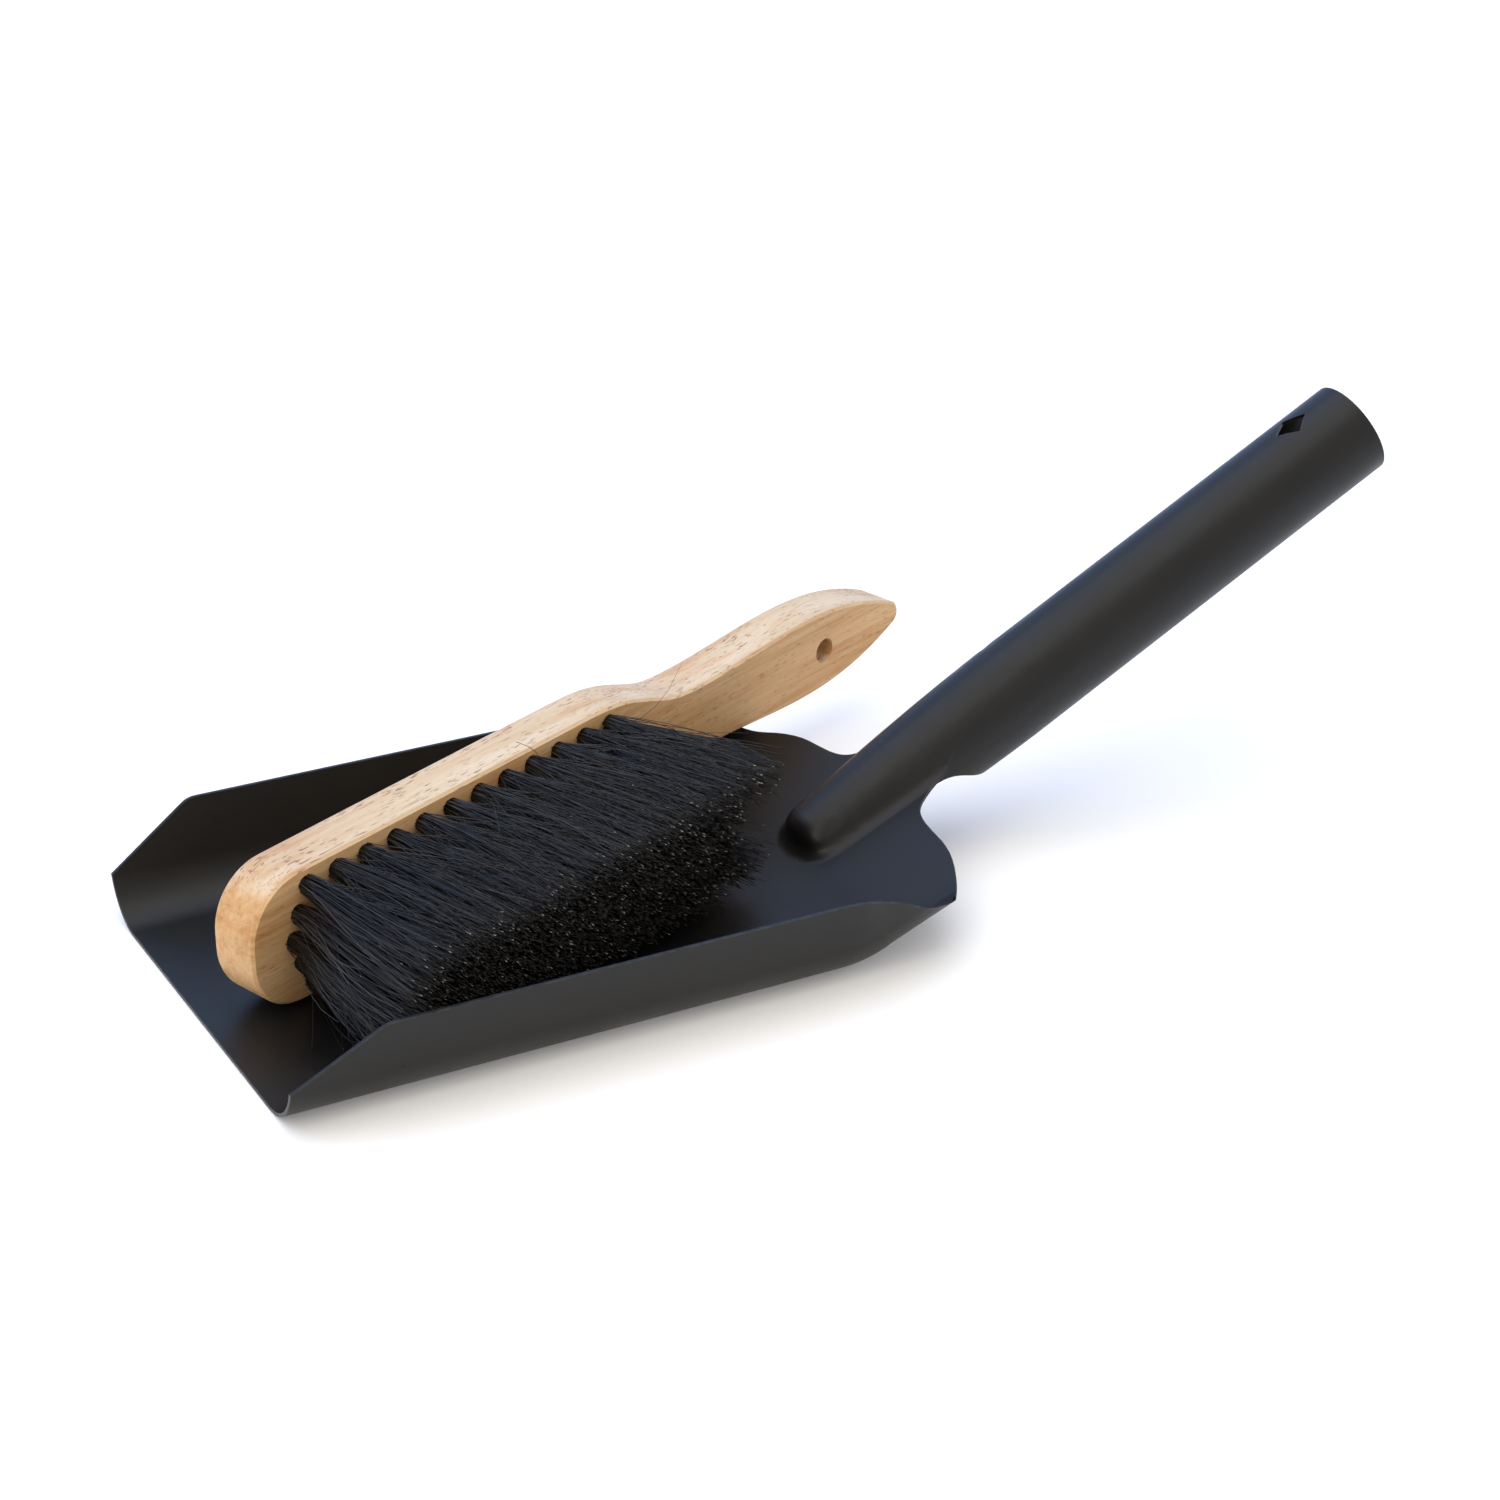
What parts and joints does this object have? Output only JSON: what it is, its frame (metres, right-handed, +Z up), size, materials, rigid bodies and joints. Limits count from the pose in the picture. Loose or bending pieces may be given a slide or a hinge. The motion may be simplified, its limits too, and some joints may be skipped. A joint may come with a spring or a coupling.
{
  "type": "dust pan and brush set",
  "caption": "Pressed steel dust pan with a rolled tube handle, and a wooden hand brush with tufts of black bristle lying on its side in it.",
  "frame": {"origin": "middle of the flat floor of the pan, on its underside", "axes": "+X from the front lip to the handle, +Y to the side that the brush's handle passes over, +Z up"},
  "size_m": [0.3842, 0.1741, 0.1173],
  "materials": {
    "coated_steel": "satin black powder coat",
    "block_wood": "sanded, thin clear lacquer",
    "anchor_wire": "drawn flat wire",
    "bristle": "black hair"
  },
  "bodies": {
    "pan": {"pan": "coated_steel"},
    "brush": {"brush_block": "block_wood", "tuft_anchors": "anchor_wire", "tuft_a01": "bristle", "tuft_a02": "bristle", "tuft_a03": "bristle", "tuft_a04": "bristle", "tuft_a05": "bristle", "tuft_a06": "bristle", "tuft_a07": "bristle", "tuft_a08": "bristle", "tuft_a09": "bristle", "tuft_a10": "bristle", "tuft_a11": "bristle", "tuft_a12": "bristle", "tuft_b01": "bristle", "tuft_b02": "bristle", "tuft_b03": "bristle", "tuft_b04": "bristle", "tuft_b05": "bristle", "tuft_b06": "bristle", "tuft_b07": "bristle", "tuft_b08": "bristle", "tuft_b09": "bristle", "tuft_b10": "bristle", "tuft_b11": "bristle", "tuft_c01": "bristle", "tuft_c02": "bristle", "tuft_c03": "bristle", "tuft_c04": "bristle", "tuft_c05": "bristle", "tuft_c06": "bristle", "tuft_c07": "bristle", "tuft_c08": "bristle", "tuft_c09": "bristle", "tuft_c10": "bristle", "tuft_c11": "bristle", "tuft_d01": "bristle", "tuft_d02": "bristle", "tuft_d03": "bristle", "tuft_d04": "bristle", "tuft_d05": "bristle", "tuft_d06": "bristle", "tuft_d07": "bristle", "tuft_d08": "bristle", "tuft_d09": "bristle", "tuft_d10": "bristle", "tuft_d11": "bristle", "tuft_e01": "bristle", "tuft_e02": "bristle", "tuft_e03": "bristle", "tuft_e04": "bristle", "tuft_e05": "bristle", "tuft_e06": "bristle", "tuft_e07": "bristle", "tuft_e08": "bristle", "tuft_e09": "bristle", "tuft_e10": "bristle", "tuft_e11": "bristle", "tuft_e12": "bristle"}
  },
  "joints": [
    {"name": "brush_lift", "type": "slide", "parent": "pan", "child": "brush", "axis": [0, 0, 1], "range_m": [0, 0.15]}
  ]
}
